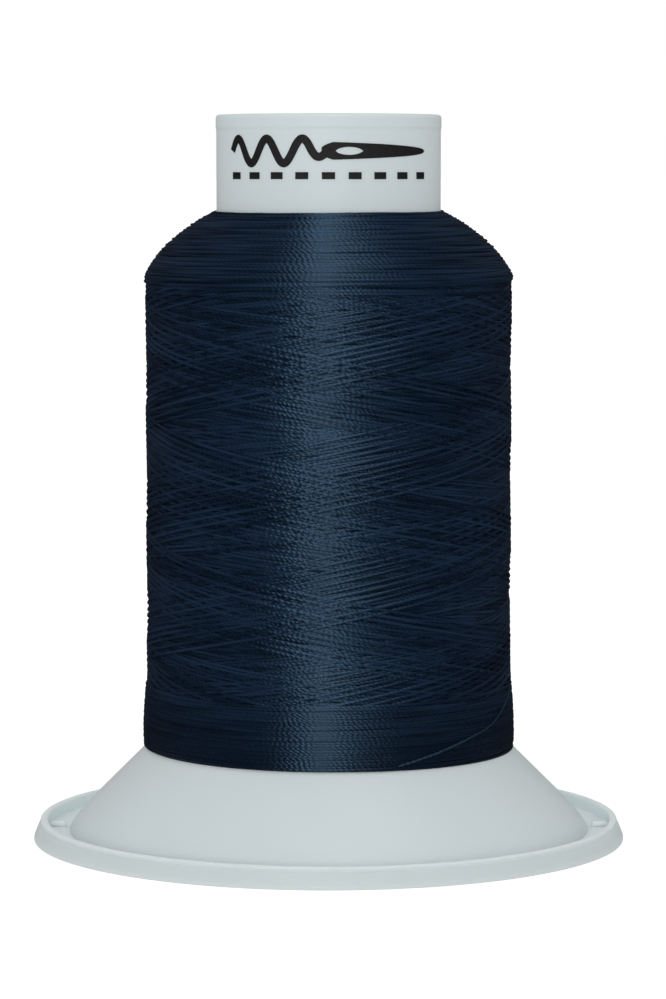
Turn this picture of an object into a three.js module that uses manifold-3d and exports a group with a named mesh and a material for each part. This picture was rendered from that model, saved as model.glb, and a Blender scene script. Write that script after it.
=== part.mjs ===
// Spool of machine embroidery thread: a straight plastic barrel pressed into a hollow conical foot,
// a snap-on base ring that opens a thread lock round the foot, the cross-wound thread package, its
// loose thread end, and the paper label under the base.
// Millimetres, +Z up. The origin is on the spool's axis, on the surface that the base ring stands on.

import * as THREE from "three";
import { mergeVertices } from "three/addons/utils/BufferGeometryUtils.js";
import Module from "manifold-3d";

// Driving dimensions
const SPOOL_HEIGHT = 75.85;
const FOOT_RADIUS = 31.1; // the widest line, near the bottom of the base ring
const BARREL_RADIUS = 11.7;
const BORE_RADIUS = 10.3; // for the pin of a thread stand
const CONE_REACH = 28.95; // the foot's cone falls at 45 degrees: radius + height stays at this
const CONE_EDGE = 27.35; // outer radius where the cone has turned down to the base ring
const FOOT_WALL = 1.1;
const FACE_RADIUS = 19.15; // the wound face of the thread package
const PACKAGE_TOP = 66;
const THREAD_RADIUS = 0.13;
const LOCK_TRAVEL = 2.5; // how far the base ring snaps away from the foot

// Clearances
const FIT_GAP = 0.1; // between pieces pushed or wound on each other
const RUN_GAP = 0.2; // between the snap collar and the barrel that slides in it
const REST_GAP = 0.05; // between faces that rest on each other

const SIDES = 48; // facets round the axis
const ARC_STEPS = 3; // points on each rounded stretch of an outline

const wasm = await Module();
wasm.setup();

// ---- helpers ----

// An outline in (radius, height), turned about +Z.
function turned(path) {
  const points = path.getPoints(ARC_STEPS);
  points.pop(); // closePath came back to the first point
  if (THREE.ShapeUtils.area(points) < 0) points.reverse();
  points.push(points[0].clone());
  return new THREE.LatheGeometry(points, SIDES).rotateX(Math.PI / 2);
}

function outline(radius, height) {
  return new THREE.Path().moveTo(radius, height);
}

// A block that lies along +X, `width` across.
function block(x0, x1, width, z0, z1) {
  const made = new THREE.BoxGeometry(x1 - x0, width, z1 - z0);
  return made.translate((x0 + x1) / 2, 0, (z0 + z1) / 2);
}

function solid(geometry) {
  const bare = geometry.clone();
  bare.deleteAttribute("normal");
  bare.deleteAttribute("uv");
  const merged = mergeVertices(bare, 1e-4);
  return new wasm.Manifold(
    new wasm.Mesh({
      numProp: 3,
      vertProperties: merged.attributes.position.array,
      triVerts: new Uint32Array(merged.index.array),
    }),
  );
}

function geometryOf(manifold) {
  const mesh = manifold.getMesh();
  const made = new THREE.BufferGeometry();
  made.setAttribute("position", new THREE.BufferAttribute(mesh.vertProperties, 3));
  made.setIndex(new THREE.BufferAttribute(mesh.triVerts, 1));
  made.computeVertexNormals();
  return made;
}

// The same block repeated round the axis, as one solid.
function ringOf(count, piece) {
  let all = null;
  for (let i = 0; i < count; i++) {
    const one = solid(piece.clone().rotateZ((i * 2 * Math.PI) / count));
    all = all ? all.add(one) : one;
  }
  return all;
}

function named(name, geometry, colour, roughness) {
  const material = new THREE.MeshStandardMaterial({ color: colour, roughness, metalness: 0 });
  const mesh = new THREE.Mesh(geometry, material);
  mesh.name = name;
  return mesh;
}

// ---- heights and radii that several pieces share ----

const RING_FLOOR = 0.9; // the floor of the base ring's trough
const PLATE_TOP = 1.2; // the plate that carries the snap collar
const PLATE_UNDER = 0.5; // its underside, raised so that the label stays off the table
const COLLAR_TOP = 7;
const HOOK_LOW = 5.6;
const HOOK_HIGH = 6.4;
const HOOK_BITE = 0.25; // how far the hooks reach into the barrel's groove
const SLEEVE_TOP = 18.5; // the foot's sleeve, inside the thread package
const SLEEVE_RADIUS = 12.9;
const STOP_BEAD = 0.5; // bead on the barrel that the foot's ribs clear
const STOP_BEAD_LOW = 8.2;

// ---- barrel ----

function barrel() {
  const lip = 0.06;
  const lipHeight = 1.3;
  const edge = 0.35;
  const bottom = PLATE_TOP + REST_GAP;
  const grooveRadius = BARREL_RADIUS - HOOK_BITE - FIT_GAP;
  const grooveLow = HOOK_LOW - LOCK_TRAVEL - FIT_GAP;
  const grooveHigh = COLLAR_TOP + FIT_GAP;
  const beadRadius = BARREL_RADIUS + STOP_BEAD;
  const lipRadius = BARREL_RADIUS + lip;
  const shape = outline(BORE_RADIUS, bottom)
    .lineTo(BARREL_RADIUS, bottom)
    .lineTo(BARREL_RADIUS, grooveLow)
    .lineTo(grooveRadius, grooveLow)
    .lineTo(grooveRadius, grooveHigh)
    .lineTo(BARREL_RADIUS, grooveHigh)
    .lineTo(BARREL_RADIUS, STOP_BEAD_LOW)
    .lineTo(beadRadius, STOP_BEAD_LOW + STOP_BEAD)
    .lineTo(beadRadius, STOP_BEAD_LOW + 2 * STOP_BEAD)
    .lineTo(BARREL_RADIUS, STOP_BEAD_LOW + 2 * STOP_BEAD)
    .lineTo(BARREL_RADIUS, SPOOL_HEIGHT - lipHeight - lip)
    .lineTo(lipRadius, SPOOL_HEIGHT - lipHeight)
    .lineTo(lipRadius, SPOOL_HEIGHT - edge)
    .absarc(lipRadius - edge, SPOOL_HEIGHT - edge, edge, 0, Math.PI / 2)
    .lineTo(BORE_RADIUS + edge, SPOOL_HEIGHT)
    .lineTo(BORE_RADIUS, SPOOL_HEIGHT - edge)
    .closePath();
  return turned(shape);
}

// ---- conical foot ----

// Carries an outline down the cone to its bottom edge, `inset` inside the outer surface.
function downTheCone(path, inset, bottom) {
  const reach = CONE_REACH - inset * Math.SQRT2;
  const edge = CONE_EDGE - inset;
  const turnStart = edge - 3.25;
  return path
    .lineTo(turnStart, reach - turnStart)
    .quadraticCurveTo(edge - 0.2, reach - edge + 0.2, edge, bottom);
}

function conicalFoot() {
  const bottom = RING_FLOOR + REST_GAP;
  const sleeveBore = BARREL_RADIUS + FIT_GAP;
  const hollowTop = CONE_REACH - FOOT_WALL * Math.SQRT2 - sleeveBore;

  const shell = outline(sleeveBore, SLEEVE_TOP)
    .lineTo(SLEEVE_RADIUS, SLEEVE_TOP)
    .lineTo(SLEEVE_RADIUS, CONE_REACH - SLEEVE_RADIUS);
  downTheCone(shell, 0, bottom);
  const hollow = downTheCone(outline(sleeveBore, hollowTop), FOOT_WALL, bottom);
  const upTheInside = hollow.getPoints(ARC_STEPS).reverse();
  for (const point of upTheInside) shell.lineTo(point.x, point.y);
  shell.closePath();

  // Ribs stand in the hollow, between the cone and the barrel.
  const ribCount = 8;
  const ribWidth = 0.8;
  const ribLow = COLLAR_TOP + 0.6;
  const ribInner = BARREL_RADIUS + STOP_BEAD + FIT_GAP;
  const ribOuter = CONE_REACH - FOOT_WALL - ribLow;
  const blades = ringOf(ribCount, block(ribInner, ribOuter, ribWidth, ribLow, hollowTop + 1));
  const underCone = outline(0, CONE_REACH - 1)
    .lineTo(1, CONE_REACH - 1)
    .lineTo(CONE_REACH - ribLow + 1, ribLow - 1)
    .lineTo(0, ribLow - 1)
    .closePath();
  const ribs = blades.intersect(solid(turned(underCone)));
  return geometryOf(solid(turned(shell)).add(ribs));
}

// ---- base ring ----

function baseRing() {
  const standInner = 26.2; // inner edge of the ring that touches the table
  const rimTop = 2.15;
  const rimInner = 29.6;
  const rimOuter = 30.4;
  const rimStep = 1.65; // where the flared skirt meets the upright lip
  const edge = 0.22;
  const collarInner = BARREL_RADIUS + RUN_GAP;
  const collarOuter = collarInner + 1;
  const hookRadius = BARREL_RADIUS - HOOK_BITE;
  const plateEdge = CONE_EDGE - FOOT_WALL - 0.4;

  const shape = outline(BORE_RADIUS, PLATE_UNDER)
    .lineTo(standInner, PLATE_UNDER)
    .lineTo(standInner + 0.4, 0)
    .lineTo(FOOT_RADIUS - edge, 0)
    .lineTo(FOOT_RADIUS, edge)
    .lineTo(rimOuter, rimStep)
    .lineTo(rimOuter, rimTop - edge)
    .absarc(rimOuter - edge, rimTop - edge, edge, 0, Math.PI / 2)
    .lineTo(rimInner + edge, rimTop)
    .lineTo(rimInner, rimTop - edge)
    .lineTo(rimInner, RING_FLOOR)
    .lineTo(plateEdge, RING_FLOOR)
    .lineTo(plateEdge - 0.3, PLATE_TOP)
    .lineTo(collarOuter, PLATE_TOP)
    .lineTo(collarOuter, COLLAR_TOP)
    .lineTo(collarInner + 0.3, COLLAR_TOP)
    .lineTo(hookRadius, HOOK_HIGH)
    .lineTo(hookRadius, HOOK_LOW)
    .lineTo(collarInner, HOOK_LOW)
    .lineTo(collarInner, PLATE_TOP - 0.2)
    .lineTo(BORE_RADIUS, PLATE_TOP - 0.2)
    .closePath();

  // Slots part the collar into springy hooked fingers.
  const fingerCount = 6;
  const slot = block(BORE_RADIUS, collarOuter + 1, 1.6, PLATE_TOP + 0.8, COLLAR_TOP + 1);

  // Small nibs across the trough grip the locked thread.
  const nibCount = 8;
  const nib = block(CONE_EDGE + 0.35, rimInner + 0.3, 0.6, RING_FLOOR - 0.2, 1.5);

  const ring = solid(turned(shape)).add(ringOf(nibCount, nib));
  return geometryOf(ring.subtract(ringOf(fingerCount, slot)));
}

// ---- paper label under the base ring ----

function baseLabel() {
  const inner = BORE_RADIUS + 1.2;
  const outer = 25.2;
  const thickness = 0.15;
  const top = PLATE_UNDER - REST_GAP;
  const shape = outline(inner, top - thickness)
    .lineTo(outer, top - thickness)
    .lineTo(outer, top)
    .lineTo(inner, top)
    .closePath();
  return turned(shape);
}

// ---- thread package ----

function threadPackage() {
  const inner = BARREL_RADIUS + FIT_GAP;
  const mouthRadius = BARREL_RADIUS + 0.35; // where the taper meets the barrel
  const sleeveGap = SLEEVE_RADIUS + FIT_GAP;
  const seat = CONE_REACH + 0.2; // clear of the cone, on which the lowest turns lean
  const footRadius = FACE_RADIUS + 0.05;
  const footHeight = seat - footRadius;
  const swellRadius = FACE_RADIUS + 0.35; // the lowest turns bulge a little
  const swellHeight = 12.4;
  const swellEnd = 18;
  const shoulderHeight = 57.8; // the straight face ends here
  const cornerRadius = 17.95;
  const cornerHeight = 61.25;
  const shape = outline(inner, PACKAGE_TOP)
    .lineTo(inner, SLEEVE_TOP + FIT_GAP)
    .lineTo(sleeveGap, SLEEVE_TOP + FIT_GAP)
    .lineTo(sleeveGap, seat - sleeveGap)
    .lineTo(footRadius, footHeight)
    .quadraticCurveTo(swellRadius + 0.05, footHeight + 0.6, swellRadius, swellHeight)
    .lineTo(FACE_RADIUS + 0.03, swellEnd)
    .lineTo(FACE_RADIUS, shoulderHeight)
    .quadraticCurveTo(FACE_RADIUS + 0.15, shoulderHeight + 2, cornerRadius, cornerHeight)
    .quadraticCurveTo(cornerRadius - 2.05, cornerHeight + 2.35, mouthRadius + 0.95, PACKAGE_TOP - 0.6)
    .lineTo(mouthRadius, PACKAGE_TOP)
    .closePath();
  return turned(shape);
}

// ---- loose thread end ----

// It leaves the last turn behind the right side, runs down across the face and tucks in at the foot.
// Each point is an angle from +X in degrees, a height, and how far its centre stands off FACE_RADIUS.
const THREAD_END_ROUTE = [
  [22, 22, 0.22],
  [5, 19, 0.24],
  [-12, 16.1, 0.38],
  [-29, 13.6, 0.52],
  [-43, 12.35, 0.58],
  [-56, 11.25, 0.57],
  [-69, 10.2, 0.44],
];

function threadEnd() {
  const points = THREAD_END_ROUTE.map(([degrees, height, standOff]) => {
    const angle = THREE.MathUtils.degToRad(degrees);
    const radius = FACE_RADIUS + standOff;
    return new THREE.Vector3(radius * Math.cos(angle), radius * Math.sin(angle), height);
  });
  const section = new THREE.Shape();
  section.absarc(0, 0, THREAD_RADIUS, 0, 2 * Math.PI);
  return new THREE.ExtrudeGeometry(section, {
    steps: 40,
    curveSegments: 4,
    bevelEnabled: false,
    extrudePath: new THREE.CatmullRomCurve3(points),
  });
}

// ---- assembly ----

const PLASTIC = 0xc4ced0;
const PAPER = 0xf2f1ec;
const NAVY = 0x14233a;

const spool = new THREE.Group();
spool.add(named("barrel", barrel(), PLASTIC, 0.45));
spool.add(named("conical_foot", conicalFoot(), PLASTIC, 0.45));
spool.add(named("thread_package", threadPackage(), NAVY, 0.5));
spool.add(named("thread_end", threadEnd(), NAVY, 0.5));

const base = new THREE.Group();
base.add(named("base_ring", baseRing(), PLASTIC, 0.4));
base.add(named("base_label", baseLabel(), PAPER, 0.8));

const object = new THREE.Group();
object.add(base, spool);

export default object;
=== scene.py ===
# %% [markdown]
# # A footed spool of embroidery thread
#
# The real object is a straight plastic barrel pushed into a hollow conical foot. About a kilometre of
# glossy two-ply thread is wound on it in crossing layers, and a shallow ring snaps on under the foot: it
# opens a little way, so that the loose end can be locked in the gap.
#
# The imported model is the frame. It says where everything is and what moves, and this lesson gives each
# piece the surface that its simple solid only stands for.

# %% Load the frame
import math

import bmesh
import bpy
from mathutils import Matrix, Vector


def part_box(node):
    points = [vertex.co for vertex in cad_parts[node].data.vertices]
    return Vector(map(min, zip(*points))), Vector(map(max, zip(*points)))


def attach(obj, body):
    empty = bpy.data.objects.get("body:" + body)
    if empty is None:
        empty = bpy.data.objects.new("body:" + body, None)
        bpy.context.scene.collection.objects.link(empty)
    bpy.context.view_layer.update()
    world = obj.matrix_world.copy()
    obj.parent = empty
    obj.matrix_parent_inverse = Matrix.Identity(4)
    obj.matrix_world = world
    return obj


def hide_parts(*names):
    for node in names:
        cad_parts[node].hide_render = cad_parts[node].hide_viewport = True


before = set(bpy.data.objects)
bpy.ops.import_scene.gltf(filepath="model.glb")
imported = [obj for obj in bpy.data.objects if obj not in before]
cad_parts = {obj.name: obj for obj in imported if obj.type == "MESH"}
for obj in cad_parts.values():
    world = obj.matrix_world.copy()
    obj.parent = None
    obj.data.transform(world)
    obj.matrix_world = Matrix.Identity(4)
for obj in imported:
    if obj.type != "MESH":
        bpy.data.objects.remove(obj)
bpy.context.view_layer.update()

MM = 0.001

# %% [markdown]
# ## Camera
#
# A long lens from a little above the foot, as a catalogue shows a spool: the barrel's rim is seen almost
# edge on, and the foot opens into a flat ellipse. The camera comes first, because it decides how much
# of each piece is worth making finely.

# %% Place the camera
CAMERA_DISTANCE = 0.39246
CAMERA_HEIGHT = 0.06977
CAMERA_ASIDE = 0.00046
LOOKING_DOWN = math.radians(4.97)
LONG_LENS = 135.1

lens = bpy.data.cameras.new("catalogue_camera")
lens.lens = LONG_LENS
lens.sensor_width = 36
lens.clip_start = 0.01
camera = bpy.data.objects.new("catalogue_camera", lens)
camera.location = (CAMERA_ASIDE, -CAMERA_DISTANCE, CAMERA_HEIGHT)
camera.rotation_euler = (math.pi / 2 - LOOKING_DOWN, 0, 0)
bpy.context.scene.collection.objects.link(camera)
bpy.context.scene.camera = camera

# %% [markdown]
# ## Helpers for node trees
#
# Both the winding and the materials are formulas. Written as nodes, a formula is long and hard to read,
# so a Field wraps a node socket and lets Python's own +, - and * add the Math nodes.

# %% A field that reads as a formula
def feed(tree, socket, value):
    """Gives a socket its value: a field or socket is linked, anything else is set on the socket."""
    if isinstance(value, Field):
        value = value.socket
    if isinstance(value, bpy.types.NodeSocket):
        tree.links.new(value, socket)
    else:
        socket.default_value = value


class Field:
    """A number or vector that a node tree works out."""

    def __init__(self, tree, socket):
        self.tree = tree
        self.socket = socket

    def maths(self, operation, *others):
        node = self.tree.nodes.new("ShaderNodeMath")
        node.operation = operation
        for socket, value in zip(node.inputs, (self, *others)):
            feed(self.tree, socket, value)
        return Field(self.tree, node.outputs[0])

    def __add__(self, other):
        return self.maths("ADD", other)

    def __sub__(self, other):
        return self.maths("SUBTRACT", other)

    def __mul__(self, other):
        return self.maths("MULTIPLY", other)

    def __truediv__(self, other):
        return self.maths("DIVIDE", other)

    def sin(self):
        return self.maths("SINE")

    def cos(self):
        return self.maths("COSINE")

    def between(self, low, high, at_low=0.0, at_high=1.0):
        """at_low where this is under low, at_high where it is over high, and a smooth change between."""
        inputs = {"Value": self, "From Min": low, "From Max": high, "To Min": at_low, "To Max": at_high}
        node = add(self.tree, "ShaderNodeMapRange", inputs, interpolation_type="SMOOTHSTEP")
        return Field(self.tree, node.outputs[0])

    def noise(self, detail=1.0):
        """Smooth noise from 0 to 1 that depends only on this number."""
        inputs = {"W": self, "Scale": 1.0, "Detail": detail}
        node = add(self.tree, "ShaderNodeTexNoise", inputs, noise_dimensions="1D")
        return Field(self.tree, node.outputs[0])


def add(tree, kind, inputs=None, **settings):
    """A new node with its settings and inputs filled in."""
    node = tree.nodes.new(kind)
    for name, value in settings.items():
        setattr(node, name, value)
    for name, value in (inputs or {}).items():
        feed(tree, node.inputs[name], value)
    return node


def parts_of(tree, vector):
    """The x, y and z of a vector, as fields."""
    node = add(tree, "ShaderNodeSeparateXYZ", {"Vector": vector})
    return [Field(tree, output) for output in node.outputs]


def vector_of(tree, x, y, z):
    return Field(tree, add(tree, "ShaderNodeCombineXYZ", {"X": x, "Y": y, "Z": z}).outputs[0])


# %% Build a tree with named inputs, and turn what it makes into a plain mesh
SOCKET_KINDS = {int: "NodeSocketInt", float: "NodeSocketFloat", tuple: "NodeSocketVector"}


def new_tree(name, sizes):
    """A Geometry Nodes tree, and its inputs by name. Each size becomes a named input of the tree."""
    tree = bpy.data.node_groups.new(name, "GeometryNodeTree")
    face = tree.interface
    face.new_socket("Geometry", in_out="OUTPUT", socket_type="NodeSocketGeometry")
    face.new_socket("Geometry", in_out="INPUT", socket_type="NodeSocketGeometry")
    face.new_socket("Material", in_out="INPUT", socket_type="NodeSocketMaterial")
    for label, value in sizes.items():
        socket = face.new_socket(label, in_out="INPUT", socket_type=SOCKET_KINDS[type(value)])
        socket.default_value = value
    entry = tree.nodes.new("NodeGroupInput")
    inputs = {socket.name: Field(tree, socket) for socket in entry.outputs if socket.name}
    return tree, inputs


def end_tree(tree, inputs, geometry):
    """Realizes what the tree made, shades it smooth, gives it its material and hands it out."""
    real = add(tree, "GeometryNodeRealizeInstances", {"Geometry": geometry})
    smooth = add(tree, "GeometryNodeSetShadeSmooth", {"Geometry": real.outputs[0]})
    painted = add(
        tree,
        "GeometryNodeSetMaterial",
        {"Geometry": smooth.outputs[0], "Material": inputs["Material"]},
    )
    leave = tree.nodes.new("NodeGroupOutput")
    tree.links.new(painted.outputs[0], leave.inputs[0])


def grown(name, tree, material, mesh=None, **sizes):
    """The plain mesh that a tree makes, as an object. A size that isn't given keeps the tree's value."""
    piece = bpy.data.objects.new(name, mesh or bpy.data.meshes.new(name))
    bpy.context.scene.collection.objects.link(piece)
    modifier = piece.modifiers.new(tree.name, "NODES")
    modifier.node_group = tree
    wanted = {"Material": material}
    wanted.update({label.replace("_", " "): value for label, value in sizes.items()})
    for item in tree.interface.items_tree:
        if item.in_out == "INPUT" and item.name in wanted:
            modifier[item.identifier] = wanted[item.name]
    evaluated = piece.evaluated_get(bpy.context.evaluated_depsgraph_get())
    made = bpy.data.meshes.new_from_object(evaluated)
    piece.modifiers.clear()
    piece.data = made
    made.name = name
    made.calc_loop_triangles()
    print(f"{name}: {len(made.loop_triangles)} triangles")
    return piece


# %% [markdown]
# ## Finishes
#
# The spool is moulded in polypropylene: a pale cool grey, satin, a little translucent, with very faint
# clouding from the melt and a skin that isn't quite flat. The Principled shader's subsurface makes edges
# and thin walls glow softly, which is what tells this plastic from paint. The base ring is thinner than
# the spool, so it's milkier. Light comes through its lip, and the trough inside it is given a paler
# base colour for that: painted light.

# %% Moulded plastic
def new_material(name):
    material = bpy.data.materials.new(name)
    material.use_nodes = True
    return material, material.node_tree, material.node_tree.nodes["Principled BSDF"]


def moulded_plastic(name, pale, deep, clouding, grain, depth, milky):
    """Satin polypropylene. It clouds between two colours at one scale and is grained at a finer one.

    Light goes in to the given depth, and milky is how much of it does.
    """
    material, tree, skin = new_material(name)
    place = add(tree, "ShaderNodeTexCoord").outputs["Object"]
    clouds = add(tree, "ShaderNodeTexNoise", {"Vector": place, "Scale": clouding, "Detail": 3.0})
    tint = add(tree, "ShaderNodeMix", {"Factor": clouds.outputs[0]}, data_type="RGBA")
    feed(tree, tint.inputs[6], (*deep, 1))
    feed(tree, tint.inputs[7], (*pale, 1))
    tree.links.new(tint.outputs[2], skin.inputs["Base Color"])
    fine = add(tree, "ShaderNodeTexNoise", {"Vector": place, "Scale": grain, "Detail": 2.0})
    sheen = Field(tree, fine.outputs[0]).between(0.3, 0.7, 0.46, 0.56)
    tree.links.new(sheen.socket, skin.inputs["Roughness"])
    bump = add(
        tree,
        "ShaderNodeBump",
        {"Strength": 0.12, "Distance": 0.05 * MM, "Height": fine.outputs[0]},
    )
    tree.links.new(bump.outputs[0], skin.inputs["Normal"])
    skin.inputs["Subsurface Weight"].default_value = milky
    skin.inputs["Subsurface Radius"].default_value = (1.0, 1.0, 1.0)
    skin.inputs["Subsurface Scale"].default_value = depth
    skin.inputs["Specular IOR Level"].default_value = 0.12
    return material


spool_plastic = moulded_plastic(
    "moulded_spool_plastic",
    pale=(0.60, 0.66, 0.672),
    deep=(0.57, 0.633, 0.645),
    clouding=120,
    grain=2600,
    depth=1.2 * MM,
    milky=0.25,
)
base_plastic = moulded_plastic(
    "moulded_base_plastic",
    pale=(0.553, 0.608, 0.616),
    deep=(0.533, 0.588, 0.596),
    clouding=90,
    grain=2200,
    depth=2.0 * MM,
    milky=0.6,
)


# %% Paler plastic inside the base ring's lip: painted light for the light that comes through it
def painted_light_inside(material, radius, gain):
    """Within a radius the moulding is thin and light comes through it, so the base colour is made paler
    there: painted light.
    """
    tree = material.node_tree
    skin = tree.nodes["Principled BSDF"]
    plain = skin.inputs["Base Color"].links[0].from_socket
    x, y, _ = parts_of(tree, add(tree, "ShaderNodeTexCoord").outputs["Object"])
    light = (x * x + y * y).maths("SQRT").between(radius - 0.4 * MM, radius, gain, 1.0)
    paler = add(
        tree,
        "ShaderNodeVectorMath",
        {0: plain, 1: vector_of(tree, light, light, light)},
        operation="MULTIPLY",
    )
    tree.links.new(paler.outputs[0], skin.inputs["Base Color"])


RIM_OUTSIDE = 30.5 * MM
# Inside the lip the base colour is made paler: painted light for the glow of the trough.
painted_light_inside(base_plastic, RIM_OUTSIDE, gain=1.4)

# %% [markdown]
# The thread is two plies of trilobal polyester twisted together. Its colour comes mostly from light that
# goes into the fibres and out again, so even its highlights are navy: the specular tint says so. The
# fibres run along the thread, so its gloss is anisotropic: spread across the thread, sharp along it. The
# ply ridges are far finer than the winding's geometry can be, so they are bump. Every thread mesh carries
# an attribute, twist, with where round the thread a point is and how far along it. The base colour is
# darker in the grooves between the plies: painted shade. Low on the winding, where the cone keeps the
# light out, the thread's paler stretches fade to its darker colour: painted shade as well.

# %% Dyed two-ply thread
PLY_SPACING = 0.56 * MM
# The painted shade low on the winding is full below the first height and gone above the second.
PAINTED_SHADE_LOW = 9 * MM
PAINTED_SHADE_HIGH = 20 * MM


def dyed_thread(name, dark, light):
    material, tree, skin = new_material(name)
    twist = add(tree, "ShaderNodeAttribute", attribute_name="twist")
    across, aside, along = parts_of(tree, twist.outputs["Vector"])
    slack = (along * 90.0).noise() * (4 * PLY_SPACING)
    turn = (along + slack) * (2 * math.pi / PLY_SPACING)
    ridge = across * turn.cos() + aside * turn.sin()
    height = ridge.between(-1, 1)
    bump = add(
        tree,
        "ShaderNodeBump",
        {"Strength": 0.6, "Distance": 0.04 * MM, "Height": height},
    )
    tree.links.new(bump.outputs[0], skin.inputs["Normal"])
    place = add(tree, "ShaderNodeTexCoord").outputs["Object"]
    # Low on the winding the colour is darkened, down to 0.15 of its paler stretches near the cone: painted
    # shade.
    paler = parts_of(tree, place)[2].between(PAINTED_SHADE_LOW, PAINTED_SHADE_HIGH, 0.15, 1.0)
    # The ply ridges take the lighter colour and the grooves between them the darker: painted shade, over a
    # random tone along the thread.
    tone_and_painted_shade = ((along * 55.0).noise(2.0).between(0.3, 0.7) * 0.7 + height * 0.3) * paler
    tint = add(tree, "ShaderNodeMix", {"Factor": tone_and_painted_shade}, data_type="RGBA")
    feed(tree, tint.inputs[6], (*dark, 1))
    feed(tree, tint.inputs[7], (*light, 1))
    tree.links.new(tint.outputs[2], skin.inputs["Base Color"])
    fibres = add(tree, "ShaderNodeTangent", direction_type="RADIAL", axis="Z")
    tree.links.new(fibres.outputs[0], skin.inputs["Tangent"])
    skin.inputs["Anisotropic"].default_value = 0.97
    skin.inputs["Anisotropic Rotation"].default_value = 0.25
    skin.inputs["Roughness"].default_value = 0.5
    skin.inputs["Specular IOR Level"].default_value = 0.3
    skin.inputs["Specular Tint"].default_value = (0.38, 0.68, 1.0, 1)
    return material


navy_thread = dyed_thread(
    "dyed_navy_thread", dark=(0.0011, 0.0040, 0.0112), light=(0.0087, 0.0220, 0.0495)
)
loose_thread = dyed_thread(
    "dyed_loose_thread", dark=(0.006, 0.016, 0.036), light=(0.011, 0.028, 0.060)
)

# %% Shadowed thread, seen only in the gaps between the outer turns
ROW_SPACING = 0.4 * MM


def shadowed_thread(name, colour):
    material, tree, skin = new_material(name)
    place = add(tree, "ShaderNodeTexCoord").outputs["Object"]
    height = parts_of(tree, place)[2]
    rows = (height * (2 * math.pi / ROW_SPACING)).sin().between(-1, 1)
    bump = add(tree, "ShaderNodeBump", {"Strength": 0.5, "Distance": 0.1 * MM, "Height": rows})
    tree.links.new(bump.outputs[0], skin.inputs["Normal"])
    # Between the rows the colour drops to four tenths of itself: painted shade in the grooves between
    # strands.
    tint = add(tree, "ShaderNodeMix", {"Factor": rows}, data_type="RGBA")
    feed(tree, tint.inputs[6], (*[c * 0.4 for c in colour], 1))
    feed(tree, tint.inputs[7], (*colour, 1))
    tree.links.new(tint.outputs[2], skin.inputs["Base Color"])
    skin.inputs["Roughness"].default_value = 0.8
    skin.inputs["Specular IOR Level"].default_value = 0.1
    skin.inputs["Specular Tint"].default_value = (0.38, 0.68, 1.0, 1)
    return material


deep_thread = shadowed_thread("shadowed_navy_thread", (0.0045, 0.0125, 0.029))

# %% Printing ink: almost black, with the slightly uneven cover of a pad print
def printing_ink(name):
    material, tree, skin = new_material(name)
    place = add(tree, "ShaderNodeTexCoord").outputs["Object"]
    cover = add(tree, "ShaderNodeTexNoise", {"Vector": place, "Scale": 1500.0, "Detail": 3.0})
    tint = add(tree, "ShaderNodeMix", {"Factor": cover.outputs[0]}, data_type="RGBA")
    feed(tree, tint.inputs[6], (0.006, 0.006, 0.007, 1))
    feed(tree, tint.inputs[7], (0.016, 0.016, 0.017, 1))
    tree.links.new(tint.outputs[2], skin.inputs["Base Color"])
    skin.inputs["Roughness"].default_value = 0.7
    skin.inputs["Specular IOR Level"].default_value = 0.1
    return material


black_ink = printing_ink("pad_printed_ink")

# %% Label paper, with a colour swatch, a ruled ring and a ring of running stitches
def label_paper(name):
    material, tree, skin = new_material(name)
    place = add(tree, "ShaderNodeTexCoord").outputs["Object"]
    x, y, _ = parts_of(tree, place)
    radius = (x * x + y * y).maths("SQRT") / MM
    angle = y.maths("ARCTAN2", x) / math.pi

    def ring(inner, outer):
        return radius.maths("GREATER_THAN", inner) * radius.maths("LESS_THAN", outer)

    stitches = (angle * (60 * math.pi)).sin().maths("GREATER_THAN", -0.2)
    swatch = ring(14.5, 19.5) * angle.maths("ABSOLUTE").maths("LESS_THAN", 0.22)
    printed = ring(24.0, 24.35).maths("MAXIMUM", ring(22.3, 22.75) * stitches)
    printed = printed.maths("MAXIMUM", ring(12.4, 12.65)).maths("MAXIMUM", swatch)
    fibres = add(tree, "ShaderNodeTexNoise", {"Vector": place, "Scale": 4000.0, "Detail": 4.0})
    tint = add(tree, "ShaderNodeMix", {"Factor": printed}, data_type="RGBA")
    paper = add(tree, "ShaderNodeMix", {"Factor": fibres.outputs[0]}, data_type="RGBA")
    feed(tree, paper.inputs[6], (0.80, 0.80, 0.77, 1))
    feed(tree, paper.inputs[7], (0.88, 0.88, 0.86, 1))
    tree.links.new(paper.outputs[2], tint.inputs[6])
    feed(tree, tint.inputs[7], (0.010, 0.025, 0.055, 1))
    tree.links.new(tint.outputs[2], skin.inputs["Base Color"])
    bump = add(
        tree,
        "ShaderNodeBump",
        {"Strength": 0.2, "Distance": 0.02 * MM, "Height": fibres.outputs[0]},
    )
    tree.links.new(bump.outputs[0], skin.inputs["Normal"])
    skin.inputs["Roughness"].default_value = 0.55
    return material


coated_paper = label_paper("coated_label_paper")

# %% [markdown]
# ## Turned pieces
#
# Barrel, foot and base ring are bodies of revolution, so each is one closed outline turned about the
# axis. A sharp corner never looks moulded, so every corner of an outline is eased by a small arc. Close
# to each arc two more points hold the shading flat on the straight stretches beside it.

# %% Ease an outline and turn it
HOLDING_POINT = 0.12


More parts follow.
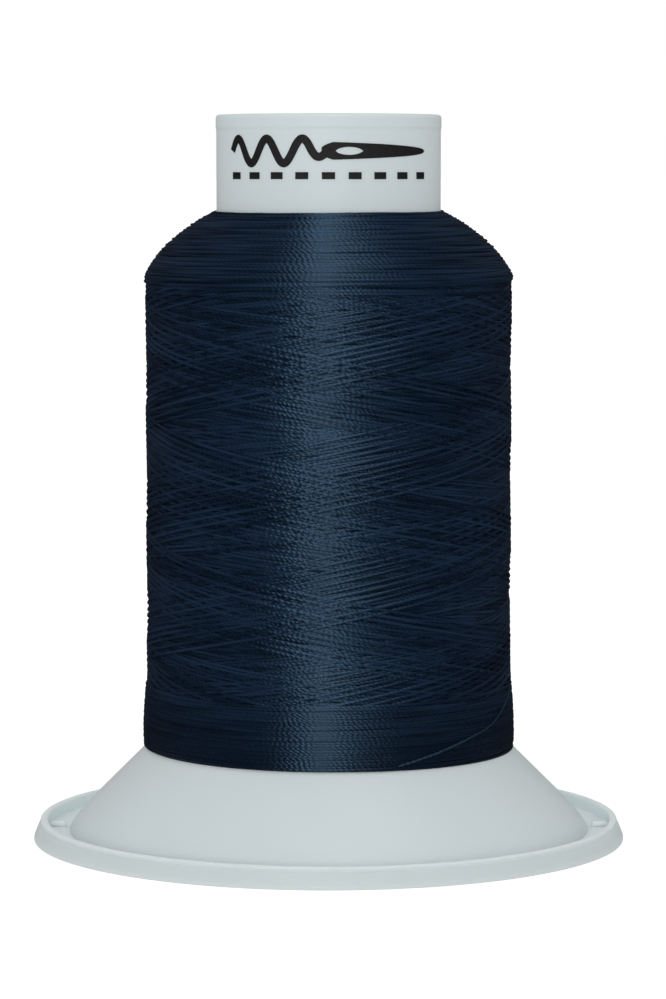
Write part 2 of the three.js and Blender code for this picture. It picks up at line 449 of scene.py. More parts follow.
def eased(corners, easing, steps=5):
    """The closed outline of (radius, height) corners in mm, each eased by an arc.

    A corner may have its own easing as its third number.
    """
    points = []
    for i, corner in enumerate(corners):
        at = Vector(corner[:2])
        before = Vector(corners[i - 1][:2]) - at
        after = Vector(corners[(i + 1) % len(corners)][:2]) - at
        wanted = corner[2] if len(corner) > 2 else easing
        room = 0.45 * min(before.length, after.length)
        half_angle = before.angle(after) / 2
        cut = min(wanted / math.tan(half_angle), room) if half_angle < 1.55 else 0
        if cut < 1e-3:
            points.append(at)
            continue
        start = at + before.normalized() * cut
        end = at + after.normalized() * cut
        hold = min(HOLDING_POINT, 0.3 * (room - cut))
        if hold > 0.01:
            points.append(start + before.normalized() * hold)
        for step in range(steps + 1):
            t = step / steps
            points.append((1 - t) ** 2 * start + 2 * t * (1 - t) * at + t * t * end)
        if hold > 0.01:
            points.append(end + after.normalized() * hold)
    return points


def arc_points(start, pull, end, steps):
    """Points from start to end on a curve that is drawn towards pull."""
    start, pull, end = Vector(start), Vector(pull), Vector(end)
    ts = [step / steps for step in range(steps + 1)]
    return [tuple((1 - t) ** 2 * start + 2 * t * (1 - t) * pull + t * t * end) for t in ts]


SHARP_EDGE = math.radians(60)


def finish_mesh(name, shape, material):
    """A bmesh as a smooth-shaded object whose faces point outwards."""
    bmesh.ops.remove_doubles(shape, verts=shape.verts, dist=1e-7)
    bmesh.ops.recalc_face_normals(shape, faces=shape.faces)
    mesh = bpy.data.meshes.new(name)
    shape.to_mesh(mesh)
    shape.free()
    mesh.shade_smooth()
    mesh.set_sharp_from_angle(angle=SHARP_EDGE)
    mesh.materials.append(material)
    piece = bpy.data.objects.new(name, mesh)
    bpy.context.scene.collection.objects.link(piece)
    mesh.calc_loop_triangles()
    print(f"{name}: {len(mesh.loop_triangles)} triangles")
    return piece


def swept(outline, sides, start=0.0, sweep=2 * math.pi):
    """An outline in mm carried round the axis, in metres.

    A sweep of less than a full turn gets an end face at each side.
    """
    shape = bmesh.new()
    whole = sweep > 6.28
    stations = sides if whole else sides + 1
    rings = []
    for i in range(stations):
        angle = start + sweep * i / sides
        across = Vector((math.cos(angle), math.sin(angle), 0))
        rings.append([shape.verts.new((across * r + Vector((0, 0, z))) * MM) for r, z in outline])
    for i in range(sides):
        here = rings[i]
        there = rings[(i + 1) % stations]
        for j in range(len(outline)):
            k = (j + 1) % len(outline)
            shape.faces.new((here[j], there[j], there[k], here[k]))
    if not whole:
        shape.faces.new(rings[0])
        shape.faces.new(rings[-1])
    return shape


# %% Sizes that the frame gives
low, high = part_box("barrel")
SPOOL_TOP = high[2] / MM
BARREL_BOTTOM = low[2] / MM
low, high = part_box("conical_foot")
CONE_EDGE = high[0] / MM
FOOT_BOTTOM = low[2] / MM
SLEEVE_TOP = high[2] / MM
low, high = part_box("base_ring")
RING_RADIUS = high[0] / MM
COLLAR_TOP = high[2] / MM
low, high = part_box("base_label")
LABEL_RADIUS = high[0] / MM
LABEL_LOW, LABEL_HIGH = low[2] / MM, high[2] / MM
low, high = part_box("thread_package")
PACKAGE_TOP = high[2] / MM
PACKAGE_FOOT = low[2] / MM
PACKAGE_RADIUS = high[0] / MM
print(f"spool {SPOOL_TOP:.2f} tall on a foot of radius {RING_RADIUS:.2f}")
print(f"package from {PACKAGE_FOOT:.2f} to {PACKAGE_TOP:.2f}, radius {PACKAGE_RADIUS:.2f}")

# %% [markdown]
# ### Barrel
#
# A plain tube that the spool pin goes through. A thin raised band runs round its mouth, where the mould
# closed, and the groove near its lower end is what the base ring's hooks slide in.

# %% Turn the barrel
BARREL_RADIUS = 11.7
BORE_RADIUS = 10.3
LIP_RADIUS = BARREL_RADIUS + 0.06
LIP_HEIGHT = 1.3
GROOVE_RADIUS = BARREL_RADIUS - 0.35
GROOVE = (3.0, 7.1)

barrel_outline = [
    (BORE_RADIUS, BARREL_BOTTOM, 0.2),
    (BARREL_RADIUS, BARREL_BOTTOM, 0.2),
    (BARREL_RADIUS, GROOVE[0]),
    (GROOVE_RADIUS, GROOVE[0]),
    (GROOVE_RADIUS, GROOVE[1]),
    (BARREL_RADIUS, GROOVE[1]),
    (BARREL_RADIUS, SPOOL_TOP - LIP_HEIGHT - 0.3, 0.6),
    (LIP_RADIUS, SPOOL_TOP - LIP_HEIGHT, 0.6),
    (LIP_RADIUS, SPOOL_TOP, 0.38),
    (BORE_RADIUS, SPOOL_TOP, 0.3),
]
barrel = finish_mesh("barrel_moulding", swept(eased(barrel_outline, 0.06), 160), spool_plastic)
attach(barrel, "spool")
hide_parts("barrel")

# %% [markdown]
# ### Printed mark
#
# A pad print carries ink round the barrel without distorting it. The mark is drawn flat, as distances
# round the barrel and heights on it, and then every point is laid on the barrel's surface. It is a needle
# with a looping thread in its eye over a row of running stitches.

# %% Draw the mark flat
MARK_HEIGHT = 71.3
MARK_WIDTH = 23.2
LINE = 0.84
INK_FILM = 0.03


def ribbon(flat, path, width):
    """A band of constant width along a flat path, as two rows of points and the faces between them."""
    rows = []
    for i, point in enumerate(path):
        ahead = Vector(path[min(i + 1, len(path) - 1)]) - Vector(path[max(i - 1, 0)])
        side = Vector((-ahead.y, ahead.x)).normalized() * (width / 2)
        rows.append([flat.verts.new((*(Vector(point) + side * s), 0)) for s in (-1, 1)])
    for here, there in zip(rows, rows[1:]):
        flat.faces.new((here[0], there[0], there[1], here[1]))


def looping_thread(flat):
    """The thread: three even waves that shrink to nothing at the needle's eye."""
    start, end = -MARK_WIDTH / 2, 0.3
    steps = 120
    path = []
    for i in range(steps + 1):
        t = i / steps
        swing = 1.25 * min(1.0, (1 - t) * 5) * math.sin(t * 6 * math.pi)
        path.append((start + (end - start) * t, 0.75 + swing))
    ribbon(flat, path, LINE)


def needle(flat):
    """A needle that points to the right, with a long open eye."""
    start, end = -0.7, MARK_WIDTH / 2
    eye_start, eye_end = 0.12, 0.34
    steps = 60
    columns = []
    for i in range(steps + 1):
        t = i / steps
        half = 0.92 * min(1.0, (t + 0.015) * 9) ** 0.5 * (1 - t) ** 0.42 + 0.02
        within = (t - eye_start) / (eye_end - eye_start)
        gap = 0.4 * math.sin(math.pi * within) ** 0.5 if 0 < within < 1 else 0
        x = start + (end - start) * t
        columns.append([flat.verts.new((x, 0.75 + offset, 0)) for offset in (-half, -gap, gap, half)])
    for here, there in zip(columns, columns[1:]):
        for j in (0, 2):
            flat.faces.new((here[j], there[j], there[j + 1], here[j + 1]))


def running_stitches(flat):
    count = 9
    stitch = 1.35
    for i in range(count):
        left = -MARK_WIDTH / 2 + i * (MARK_WIDTH - stitch) / (count - 1)
        ribbon(flat, [(left + stitch * k / 6, -1.75) for k in range(7)], LINE * 0.85)


# %% Lay the mark on the barrel
def lay_on_barrel(flat):
    """Wraps the flat mark round the front of the barrel and gives the ink its thickness."""
    bmesh.ops.remove_doubles(flat, verts=flat.verts, dist=1e-4)
    made = bmesh.ops.extrude_face_region(flat, geom=list(flat.faces))
    raised = {v for v in made["geom"] if isinstance(v, bmesh.types.BMVert)}
    for vert in flat.verts:
        radius = BARREL_RADIUS + (INK_FILM if vert in raised else -INK_FILM)
        angle = vert.co.x / BARREL_RADIUS
        height = MARK_HEIGHT + vert.co.y
        vert.co = Vector((radius * math.sin(angle), -radius * math.cos(angle), height)) * MM
    return flat


mark = bmesh.new()
looping_thread(mark)
needle(mark)
running_stitches(mark)
printed_mark = finish_mesh("printed_mark", lay_on_barrel(mark), black_ink)
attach(printed_mark, "spool")

# %% [markdown]
# ### Conical foot
#
# A hollow 45 degree cone that turns down to a thin edge. Its sleeve goes up inside the winding. Eight
# ribs stand in the hollow. They are one blade, repeated round the axis by a small node tree.

# %% Turn the foot
CONE_REACH = 28.95
FOOT_WALL = 1.1
SLEEVE_RADIUS = 12.9
SLEEVE_BORE = BARREL_RADIUS + 0.06


def down_the_cone(inset):
    """From the cone to its bottom edge, on the outer surface moved inwards by inset."""
    reach = CONE_REACH - inset * math.sqrt(2)
    edge = CONE_EDGE - inset
    start = edge - 3.25
    return arc_points((start, reach - start), (edge - 0.2, reach - edge + 0.2), (edge, FOOT_BOTTOM), 14)


hollow_top = CONE_REACH - FOOT_WALL * math.sqrt(2) - SLEEVE_BORE
foot_outline = [(SLEEVE_BORE, SLEEVE_TOP), (SLEEVE_RADIUS, SLEEVE_TOP)]
foot_outline += [(SLEEVE_RADIUS, CONE_REACH - SLEEVE_RADIUS)]
foot_outline += down_the_cone(0)
foot_outline += list(reversed(down_the_cone(FOOT_WALL)))
foot_outline += [(SLEEVE_BORE, hollow_top)]
foot = finish_mesh("foot_moulding", swept(eased(foot_outline, 0.15), 192), spool_plastic)
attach(foot, "spool")
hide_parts("conical_foot")

# %% A tree that repeats a piece round the axis
def build_axis_tree():
    tree, size = new_tree("repeat round the axis", {"Copies": 8, "First angle": 0.0})
    points = add(tree, "GeometryNodePoints", {"Count": size["Copies"]})
    index = Field(tree, add(tree, "GeometryNodeInputIndex").outputs[0])
    angle = index * (2 * math.pi) / size["Copies"] + size["First angle"]
    inputs = {
        "Points": points.outputs[0],
        "Instance": size["Geometry"],
        "Rotation": vector_of(tree, 0.0, 0.0, angle),
    }
    copies = add(tree, "GeometryNodeInstanceOnPoints", inputs)
    end_tree(tree, size, copies.outputs[0])
    return tree


axis_tree = build_axis_tree()


def blade(corners, thickness):
    """A flat blade with eased edges that stands on a radius, from its (radius, height) corners in mm."""
    shape = bmesh.new()
    face = shape.faces.new([shape.verts.new((r * MM, -thickness / 2 * MM, z * MM)) for r, z in corners])
    grown_from = bmesh.ops.extrude_face_region(shape, geom=[face])
    for vert in grown_from["geom"]:
        if isinstance(vert, bmesh.types.BMVert):
            vert.co.y = thickness / 2 * MM
    bmesh.ops.recalc_face_normals(shape, faces=shape.faces)
    edges = list(shape.edges)
    bmesh.ops.bevel(shape, geom=edges, offset=thickness * 0.2 * MM, segments=2, profile=0.5, affect="EDGES")
    mesh = bpy.data.meshes.new("blade")
    shape.to_mesh(mesh)
    shape.free()
    return mesh


# %% Ribs of the foot
RIB_LOW = COLLAR_TOP + 0.6
rib_corners = [
    (BARREL_RADIUS + 0.6, RIB_LOW),
    (CONE_REACH - FOOT_WALL - RIB_LOW - 0.3, RIB_LOW),
    (BARREL_RADIUS + 0.6, CONE_REACH - FOOT_WALL - BARREL_RADIUS - 0.9),
]
ribs = grown("foot_ribs", axis_tree, spool_plastic, blade(rib_corners, 0.8), Copies=8)
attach(ribs, "spool")

# %% [markdown]
# ### Base ring
#
# The ring stands on its outer edge. Inside its upright lip a trough takes the foot's edge, and the
# thread's end is pinched between the two. Small nibs across the trough keep the end from slipping. In the
# middle, six hooked fingers hold the ring to the barrel. The plate is turned; nibs and fingers are each
# one piece, repeated by the same tree as the ribs.

# %% Turn the plate and rim
TROUGH = 0.9
PLATE_TOP = 1.2
PLATE_UNDER = 0.5
RIM_TOP = 2.15
RIM_STEP = 1.65
RIM_INNER = 29.6
RIM_OUTER = 30.4
STAND_INNER = 26.2
PLATE_EDGE = CONE_EDGE - FOOT_WALL - 0.4

ring_outline = [
    (BORE_RADIUS, PLATE_UNDER, 0.12),
    (STAND_INNER, PLATE_UNDER, 0.12),
    (STAND_INNER + 0.4, 0, 0.15),
    (RING_RADIUS - 0.02, 0, 0.1),
    (RING_RADIUS - 0.02, 0.3, 0.3),
    (RIM_OUTER + 0.12, RIM_STEP, 0.1),
    (RIM_OUTER, RIM_STEP + 0.03, 0.05),
    (RIM_OUTER, RIM_TOP, 0.2),
    (RIM_INNER, RIM_TOP, 0.14),
    (RIM_INNER, TROUGH, 0.15),
    (PLATE_EDGE, TROUGH, 0.1),
    (PLATE_EDGE - 0.3, PLATE_TOP, 0.1),
    (BARREL_RADIUS + 0.2, PLATE_TOP, 0.05),
    (BARREL_RADIUS + 0.2, PLATE_TOP - 0.2, 0.05),
    (BORE_RADIUS, PLATE_TOP - 0.2, 0.12),
]
ring = finish_mesh("ring_moulding", swept(eased(ring_outline, 0.1), 224), base_plastic)
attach(ring, "base")
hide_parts("base_ring")

# %% Nibs in the trough
NIB_TOP = 1.5
nib_corners = [
    (CONE_EDGE + 0.35, TROUGH - 0.2),
    (RIM_INNER + 0.2, TROUGH - 0.2),
    (RIM_INNER + 0.2, NIB_TOP),
    (CONE_EDGE + 0.55, NIB_TOP),
]
nibs = grown("ring_nibs", axis_tree, base_plastic, blade(nib_corners, 0.6), Copies=8)
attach(nibs, "base")

# %% Hooked fingers of the snap
FINGERS = 6
SLOT_WIDTH = 1.6
HOOK = (5.6, 6.4)
COLLAR_INNER = BARREL_RADIUS + 0.2
COLLAR_OUTER = COLLAR_INNER + 1
HOOK_RADIUS = BARREL_RADIUS - 0.25

finger_outline = [
    (COLLAR_INNER, PLATE_TOP - 0.1),
    (COLLAR_OUTER, PLATE_TOP - 0.1),
    (COLLAR_OUTER, COLLAR_TOP - 0.02, 0.2),
    (COLLAR_INNER + 0.3, COLLAR_TOP - 0.02, 0.1),
    (HOOK_RADIUS, HOOK[1]),
    (HOOK_RADIUS, HOOK[0]),
    (COLLAR_INNER, HOOK[0]),
]
slot_angle = SLOT_WIDTH / COLLAR_OUTER
finger_sweep = 2 * math.pi / FINGERS - slot_angle
finger_shape = swept(eased(finger_outline, 0.08, 3), 16, slot_angle / 2, finger_sweep)
bmesh.ops.recalc_face_normals(finger_shape, faces=finger_shape.faces)
finger_mesh = bpy.data.meshes.new("finger")
finger_shape.to_mesh(finger_mesh)
finger_shape.free()
fingers = grown("snap_fingers", axis_tree, base_plastic, finger_mesh, Copies=FINGERS)
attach(fingers, "base")

# %% Paper label under the plate
label_outline = [
    (BORE_RADIUS + 1.2, LABEL_LOW),
    (LABEL_RADIUS, LABEL_LOW),
    (LABEL_RADIUS, LABEL_HIGH),
    (BORE_RADIUS + 1.2, LABEL_HIGH),
]
label = finish_mesh("paper_label", swept(eased(label_outline, 0.03, 2), 160), coated_paper)
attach(label, "base")
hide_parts("base_label")

# %% [markdown]
# ## The winding
#
# The winding machine lays one endless thread. The spool turns, and a guide carries the thread up and
# down at a steady pace, turning round quickly at each end, so every stroke is a helix of four to
# eleven degrees and the strokes cross. That is a rule, so Geometry Nodes can follow it: a long straight
# line stands for the spool's turns, and each of its points is moved to where that turn of thread lies.
#
# Two strokes and returns take a hair more than a whole number of turns. So the thread comes back beside
# where it was, one pitch further on, and lies down in bands of parallel strands that slowly cover the
# bands that cross them. The machine changes its gearing as the package grows, so that the layers have
# different slopes. Later turns lie further out, and a slow drift keeps them from looking ruled.

# %% Sizes of the thread and the winding
THREAD_RADIUS = 0.185
STRAND_PITCH = 0.4
STROKE = 50.0
STEPS_PER_TURN = 80
FACE_RADIUS = 19.15
SWELL = PACKAGE_RADIUS - FACE_RADIUS
SWELL_FULL = 11.5
SWELL_END = 18


def store_twist(tree, curve, sides, start=0.0):
    """Tubes along a curve, with round-the-thread and along-the-thread numbers carried to the tubes' mesh."""
    length = Field(tree, add(tree, "GeometryNodeSplineParameter").outputs["Length"]) + start
    kept = add(tree, "GeometryNodeCaptureAttribute", {"Geometry": curve})
    kept.capture_items.new("FLOAT", "along")
    tree.links.new(length.socket, kept.inputs["along"])
    section = add(
        tree,
        "GeometryNodeCurvePrimitiveCircle",
        {"Resolution": sides, "Radius": THREAD_RADIUS * MM},
    )
    around = Field(tree, add(tree, "GeometryNodeSplineParameter").outputs["Factor"]) * (4 * math.pi)
    ring = add(tree, "GeometryNodeCaptureAttribute", {"Geometry": section.outputs[0]})
    ring.capture_items.new("VECTOR", "around")
    tree.links.new(vector_of(tree, around.cos(), around.sin(), 0.0).socket, ring.inputs["around"])
    tube = add(
        tree,
        "GeometryNodeCurveToMesh",
        {"Curve": kept.outputs[0], "Profile Curve": ring.outputs[0], "Fill Caps": True},
    )
    across, aside, _ = parts_of(tree, ring.outputs["around"])
    twist = vector_of(tree, across, aside, kept.outputs["along"])
    named = add(
        tree,
        "GeometryNodeStoreNamedAttribute",
        {"Geometry": tube.outputs[0], "Name": "twist", "Value": twist},
        data_type="FLOAT_VECTOR",
        domain="POINT",
    )
    return named.outputs[0]


# %% The tree that winds the thread
def build_winding_tree():
    sizes = {
        "Turns": 170.0,
        "Turns per stroke": 2.75,
        "Strand pitch": STRAND_PITCH * MM,
        "Start": 0.0,
        "Low end": 9.9 * MM,
        "High end": (9.9 + STROKE) * MM,
        "Deepest": 0.6 * MM,
        "Layer depth": 0.1 * MM,
        "Wander": 0.1 * MM,
        "Drift": 0.5 * MM,
        "Uneven ends": 3.2 * MM,
        "Sides": 6,
    }
    tree, size = new_tree("wound thread", sizes)
    end = vector_of(tree, 0.0, 0.0, size["Turns"])
    line = add(tree, "GeometryNodeCurvePrimitiveLine", {"Start": (0, 0, 0), "End": end})
    steps = size["Turns"] * float(STEPS_PER_TURN)
    spaced = add(tree, "GeometryNodeResampleCurve", {"Curve": line.outputs[0], "Count": steps})
    laid_turns = parts_of(tree, add(tree, "GeometryNodeInputPosition").outputs[0])[2]
    turn = laid_turns + size["Start"]
    per_stroke = size["Turns per stroke"]
    per_return = per_stroke * (size["Strand pitch"] / (2 * STROKE * MM) + 2.0)

    # The guide's stroke, as a wave with slightly rounded tips. Each one turns a little early or late
    sharpness = 0.99
    wave = (turn * (2 * math.pi) / per_return).sin() * sharpness
    stroke = wave.maths("ARCSINE") * (0.5 / math.asin(sharpness)) + 0.5
    height = size["Low end"] + (size["High end"] - size["Low end"]) * stroke
    height = height + ((turn * 1.7 + 40.0).noise(2.0) - 0.5) * size["Wander"]
    height = height + ((turn * 0.04).noise(2.0) - 0.5) * size["Drift"]
    early = (turn * 0.33).noise() * size["Uneven ends"]
    late = (turn * 0.33 + 70.0).noise() * size["Uneven ends"]
    rounding = 0.8 * MM
    height = height.maths("SMOOTH_MIN", size["High end"] - early, rounding)
    height = height.maths("SMOOTH_MAX", size["Low end"] + late, rounding)

    # How far out the turn lies
    depth = size["Deepest"] - size["Layer depth"] * laid_turns / size["Turns"]
    swell = height.between(SWELL_FULL * MM, SWELL_END * MM, (SWELL - 0.1) * MM, 0.0)
    radius = swell - depth + ((FACE_RADIUS - THREAD_RADIUS + 0.1) * MM)
    radius = radius + ((turn * 5.0 + 90.0).noise() - 0.5) * (0.06 * MM)
    angle = turn * (2 * math.pi)
    place = vector_of(tree, radius * angle.cos(), radius * angle.sin(), height)
    laid = add(tree, "GeometryNodeSetPosition", {"Geometry": spaced.outputs[0], "Position": place})
    end_tree(tree, size, store_twist(tree, laid.outputs[0], size["Sides"]))
    return tree


winding_tree = build_winding_tree()

# %% Wind three layers, each with its own slope
under = grown(
    "winding_under",
    winding_tree,
    navy_thread,
    Turns=215.0,
    Turns_per_stroke=5.75,
    Deepest=0.32 * MM,
)
middle = grown(
    "winding_middle",
    winding_tree,
    navy_thread,
    Turns=150.0,
    Turns_per_stroke=3.75,
    Start=300.0,
    Deepest=0.24 * MM,
)
outer = grown(
    "winding_outer",
    winding_tree,
    navy_thread,
    Turns=100.0,
    Turns_per_stroke=2.25,
    Strand_pitch=0.62 * MM,
    Start=611.0,
    Deepest=0.14 * MM,
)
for wound in (under, middle, outer):
    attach(wound, "spool")
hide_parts("thread_package")

# %% [markdown]
# ### The tapered shoulder and the foot of the winding
#
# Each layer's strokes turn round a little lower than the layer beneath, so the top of the package is a
# crowned taper that shows nothing but turning points: long, almost level arcs whose ends sink under their
# neighbours. One tree lays them. It duplicates one line into many, reads each copy's place from a
# profile curve, and bends the copy into its arc.

# %% The tree that lays the turning points
GOLDEN_ANGLE = math.pi * (3 - math.sqrt(5))
ARC_SPACING = 0.7131  # metres of thread between one turning point and the next


def build_turning_tree():
    sizes = {
        "Arcs": 140,
        "Points": 89,
        "Half span": 3.2,
        "Lead": 1.6 * MM,
        "Profile start": (12.05 * MM, 0.0, 65.8 * MM),
        "Profile pull": (17.6 * MM, 0.0, 62.95 * MM),
        "Profile end": (19.35 * MM, 0.0, 59.1 * MM),
        "Upwards": 1.0,
        "Wobble": 0.3 * MM,
        "Lift": 0.06 * MM,
        "Sides": 6,
    }
    tree, size = new_tree("turning points", sizes)
    line = add(tree, "GeometryNodeCurvePrimitiveLine", {"Start": (-1, 0, 0), "End": (1, 0, 0)})
    spaced = add(tree, "GeometryNodeResampleCurve", {"Curve": line.outputs[0], "Count": size["Points"]})
    many = add(
        tree,
        "GeometryNodeDuplicateElements",
        {"Geometry": spaced.outputs[0], "Amount": size["Arcs"]},
        domain="SPLINE",
    )
    kept = add(tree, "GeometryNodeCaptureAttribute", {"Geometry": many.outputs[0]})
    kept.capture_items.new("INT", "which")
    tree.links.new(many.outputs["Duplicate Index"], kept.inputs["which"])
    which = Field(tree, kept.outputs["which"])
    profile = add(
        tree,
        "GeometryNodeCurveQuadraticBezier",
        {
            "Resolution": 48,
            "Start": size["Profile start"],
            "Middle": size["Profile pull"],
            "End": size["Profile end"],
        },
    )
    rank = (which + 0.5) / size["Arcs"]
    sample = add(
        tree,
        "GeometryNodeSampleCurve",
        {"Curves": profile.outputs[0], "Factor": rank},
        mode="FACTOR",
    )
    profile_radius, _, profile_height = parts_of(tree, sample.outputs["Position"])
    offset = parts_of(tree, add(tree, "GeometryNodeInputPosition").outputs[0])[0] * size["Half span"]
    rounding = 0.6
    fall = ((offset * offset + rounding**2).maths("SQRT") - rounding) * size["Lead"] / (2 * math.pi)
    wobble = ((offset * 0.8 + which * 7.31).noise(2.0) - 0.5) * size["Wobble"]
    height = profile_height - fall * size["Upwards"] + wobble
    lift = ((offset * 1.5 + which * 3.7).noise() - 0.5) * size["Lift"]
    radius = profile_radius - THREAD_RADIUS * MM + lift
    angle = offset + which * GOLDEN_ANGLE
    place = vector_of(tree, radius * angle.cos(), radius * angle.sin(), height)
    laid = add(tree, "GeometryNodeSetPosition", {"Geometry": kept.outputs[0], "Position": place})
    start = which * ARC_SPACING
    end_tree(tree, size, store_twist(tree, laid.outputs[0], size["Sides"], start))
    return tree


turning_tree = build_turning_tree()
shoulder = grown("winding_shoulder", turning_tree, navy_thread)
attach(shoulder, "spool")

# %% The lowest turns, which lean on the cone
lowest = grown(
    "winding_lowest",
    turning_tree,
    navy_thread,
    Arcs=44,
    Profile_start=(19.5 * MM, 0.0, 9.66 * MM),
    Profile_pull=(19.7 * MM, 0.0, 11.4 * MM),
    Profile_end=(19.3 * MM, 0.0, 16.0 * MM),
    Upwards=-1.0,
    Lead=1.4 * MM,
    Wobble=0.16 * MM,
)
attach(lowest, "spool")

# %% The body of the package, under the turns that show
BODY_INSET = 0.3
BODY_LEAN = 0.14
CONE_CLEARANCE = 0.06
BODY_RADIUS = FACE_RADIUS - BODY_INSET
BODY_BORE = BARREL_RADIUS + 0.05
SLEEVE_CLEARANCE = SLEEVE_RADIUS + 0.05
BODY_TOP = PACKAGE_TOP - 0.5
package_body_outline = [
    (BODY_BORE, BODY_TOP),
    (BODY_BORE, SLEEVE_TOP),
    (SLEEVE_CLEARANCE, SLEEVE_TOP),
    (SLEEVE_CLEARANCE, CONE_REACH - SLEEVE_RADIUS),
    (FACE_RADIUS + BODY_LEAN, CONE_REACH - FACE_RADIUS - BODY_LEAN + CONE_CLEARANCE),
    (PACKAGE_RADIUS - BODY_INSET, 12.4),
    (BODY_RADIUS, SWELL_END),
]
package_body_outline += arc_points((BODY_RADIUS, 58.8), (17.2, 62.5), (12.0, BODY_TOP), 16)
package_body = finish_mesh("package_body", swept(eased(package_body_outline, 0.05, 2), 128), deep_thread)
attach(package_body, "spool")

# %% [markdown]
# ### The loose end
#
# The last metre of thread runs down across the winding and its end is tucked in at the foot. Here the
# thread lies alone, so it is worth making as it is: two plies that turn round each other. Its path is
# the route that its solid takes, laid a little tighter on the strands, and the tree adds the plies.

# %% Twist two plies along a path
THREAD_END_ROUTE = [
    (22, 22, -0.18),
    (5, 19, -0.2),
    (-12, 16.1, 0.12),
    (-29, 13.6, 0.44),
    (-43, 12.35, 0.5),
    (-56, 11.25, 0.5),
    (-69, 10.2, 0.4),
]


def route_mesh(route):
    """The route as a chain of edges, from each point's angle in degrees, height and stand-off in mm."""
    points = []
    for degrees, height, stand_off in route:
        angle = math.radians(degrees)
        radius = (FACE_RADIUS + stand_off) * MM
        points.append((radius * math.cos(angle), radius * math.sin(angle), height * MM))
    mesh = bpy.data.meshes.new("route")
    mesh.from_pydata(points, [(i, i + 1) for i in range(len(points) - 1)], [])
    return mesh


def build_ply_tree():
    sizes = {
        "Step": 0.07 * MM,
        "Twist length": 1.3 * MM,
        "Ply radius": 0.075 * MM,
        "Ply offset": 0.055 * MM,
    }
    tree, size = new_tree("two plies", sizes)
    chain = add(tree, "GeometryNodeMeshToCurve", {"Mesh": size["Geometry"]})
    bent = add(tree, "GeometryNodeCurveSplineType", {"Curve": chain.outputs[0]}, spline_type="CATMULL_ROM")
    fine = add(tree, "GeometryNodeSetSplineResolution", {"Geometry": bent.outputs[0], "Resolution": 24})
    spaced = add(
        tree,
        "GeometryNodeResampleCurve",
        {"Curve": fine.outputs[0], "Length": size["Step"]},
        mode="LENGTH",
    )
    both = add(
        tree,
        "GeometryNodeDuplicateElements",
        {"Geometry": spaced.outputs[0], "Amount": 2},
        domain="SPLINE",
    )
    kept = add(tree, "GeometryNodeCaptureAttribute", {"Geometry": both.outputs[0]})
    kept.capture_items.new("INT", "which")
    tree.links.new(both.outputs["Duplicate Index"], kept.inputs["which"])
    which = Field(tree, kept.outputs["which"])
    length = Field(tree, add(tree, "GeometryNodeSplineParameter").outputs["Length"])
    angle = length * (2 * math.pi) / size["Twist length"] + which * math.pi
    normal = add(tree, "GeometryNodeInputNormal").outputs[0]
    tangent = add(tree, "GeometryNodeInputTangent").outputs[0]
    across = add(tree, "ShaderNodeVectorMath", {0: normal, 1: tangent}, operation="CROSS_PRODUCT")
    out = add(tree, "ShaderNodeVectorMath", {0: normal}, operation="SCALE")
    feed(tree, out.inputs["Scale"], angle.cos() * size["Ply offset"])
    over = add(tree, "ShaderNodeVectorMath", {0: across.outputs[0]}, operation="SCALE")
    feed(tree, over.inputs["Scale"], angle.sin() * size["Ply offset"])
    shift = add(tree, "ShaderNodeVectorMath", {0: out.outputs[0], 1: over.outputs[0]}, operation="ADD")
    laid = add(tree, "GeometryNodeSetPosition", {"Geometry": kept.outputs[0], "Offset": shift.outputs[0]})
    section = add(tree, "GeometryNodeCurvePrimitiveCircle", {"Resolution": 8, "Radius": size["Ply radius"]})
    tube = add(
        tree,
        "GeometryNodeCurveToMesh",
        {"Curve": laid.outputs[0], "Profile Curve": section.outputs[0], "Fill Caps": True},
    )
    end_tree(tree, size, tube.outputs[0])
    return tree


ply_tree = build_ply_tree()
thread_end = grown("loose_thread_end", ply_tree, loose_thread, route_mesh(THREAD_END_ROUTE))
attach(thread_end, "spool")
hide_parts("thread_end")

# %% [markdown]
# ## Floor, light and surroundings
#
# A catalogue shot: a white table and background, and an even glow from all round that keeps the pale
# plastic almost flat. A tall strip a little left of the camera draws the bright band down the winding,
# and a strip overhead carries the band on up the tapered shoulder. Both strips light only the gloss. A
# weak softbox beside the camera lights the rest from the front.

# %% White table
def table_top():
    mesh = bpy.data.meshes.new("white_table")
    half = 60.0
    corners = [(-half, -half, 0), (half, -half, 0), (half, half, 0), (-half, half, 0)]
    mesh.from_pydata(corners, [], [(0, 1, 2, 3)])
    material, tree, skin = new_material("white_table_top")
    place = add(tree, "ShaderNodeTexCoord").outputs["Object"]
    clouds = add(tree, "ShaderNodeTexNoise", {"Vector": place, "Scale": 3.0})
    tint = add(tree, "ShaderNodeMix", {"Factor": clouds.outputs[0]}, data_type="RGBA")
    feed(tree, tint.inputs[6], (0.93, 0.93, 0.93, 1))
    feed(tree, tint.inputs[7], (0.96, 0.96, 0.96, 1))
    tree.links.new(tint.outputs[2], skin.inputs["Base Color"])
    skin.inputs["Roughness"].default_value = 0.9
    skin.inputs["Specular IOR Level"].default_value = 0.1
    skin.inputs["Emission Color"].default_value = (1, 1, 1, 1)
    skin.inputs["Emission Strength"].default_value = 0.34
    mesh.materials.append(material)
    table = bpy.data.objects.new("white_table", mesh)
    bpy.context.scene.collection.objects.link(table)
    table.visible_glossy = False
    table.visible_diffuse = False


table_top()

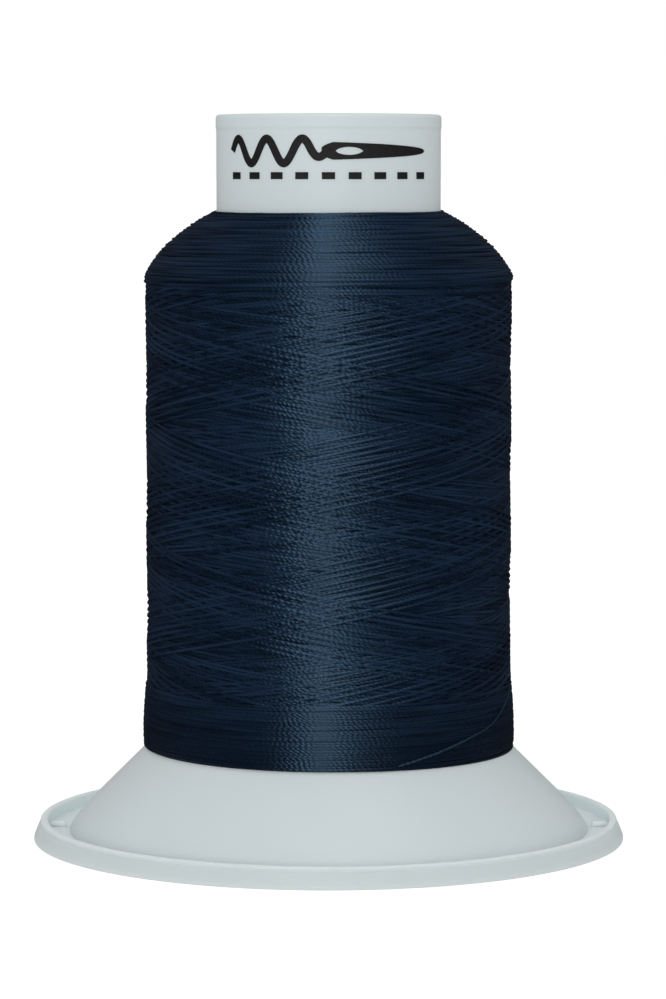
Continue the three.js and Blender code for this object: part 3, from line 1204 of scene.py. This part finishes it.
# %% Lights and world
def soft_light(name, place, aim, width, height, power):
    """A rectangular lamp at a place, turned to face a point."""
    lamp = bpy.data.lights.new(name, "AREA")
    lamp.shape = "RECTANGLE"
    lamp.size = width
    lamp.size_y = height
    lamp.energy = power
    holder = bpy.data.objects.new(name, lamp)
    holder.location = place
    holder.rotation_euler = (Vector(aim) - Vector(place)).to_track_quat("-Z", "Y").to_euler()
    bpy.context.scene.collection.objects.link(holder)
    return holder


MIDDLE = (0, 0, 0.04)
SHOULDER = (0, -0.015, 0.064)
KEY_AZIMUTH = math.radians(-5.7)
KEY_DISTANCE = 1.2
key_place = (KEY_DISTANCE * math.sin(KEY_AZIMUTH), -KEY_DISTANCE * math.cos(KEY_AZIMUTH), 0.35)
key = soft_light("key_softbox", (-0.12, -1.2, 0.05), MIDDLE, 0.5, 0.6, 6.0)
strip = soft_light("highlight_strip", key_place, MIDDLE, 0.3, 1.3, 24.5)
strip.visible_diffuse = False
overhead = soft_light("overhead_strip", (0.22, -0.5, 1.1), SHOULDER, 0.35, 0.6, 9.5)
overhead.visible_diffuse = False

GLOW_ABOVE = 0.88
GLOW_BELOW = 0.76
GLOSS_ABOVE = 0.3
GLOSS_BELOW = 0.02
world = bpy.data.worlds.new("white_surroundings")
world.use_nodes = True
sky = world.node_tree
backdrop = sky.nodes["Background"]
backdrop.inputs["Color"].default_value = (1, 1, 1, 1)
rays = add(sky, "ShaderNodeLightPath")
seen = Field(sky, rays.outputs["Is Camera Ray"])
mirrored = Field(sky, rays.outputs["Is Glossy Ray"])
upwards = parts_of(sky, add(sky, "ShaderNodeTexCoord").outputs["Generated"])[2]
glow = upwards.between(-0.6, 0.6, GLOW_BELOW, GLOW_ABOVE)
gloss = upwards.between(0.0, 1.0, GLOSS_BELOW, GLOSS_ABOVE)
strength = seen + (mirrored * -1.0 + 1.0) * (seen * -1.0 + 1.0) * glow + mirrored * gloss
sky.links.new(strength.socket, backdrop.inputs["Strength"])
bpy.context.scene.world = world
bpy.context.scene.view_settings.view_transform = "Standard"
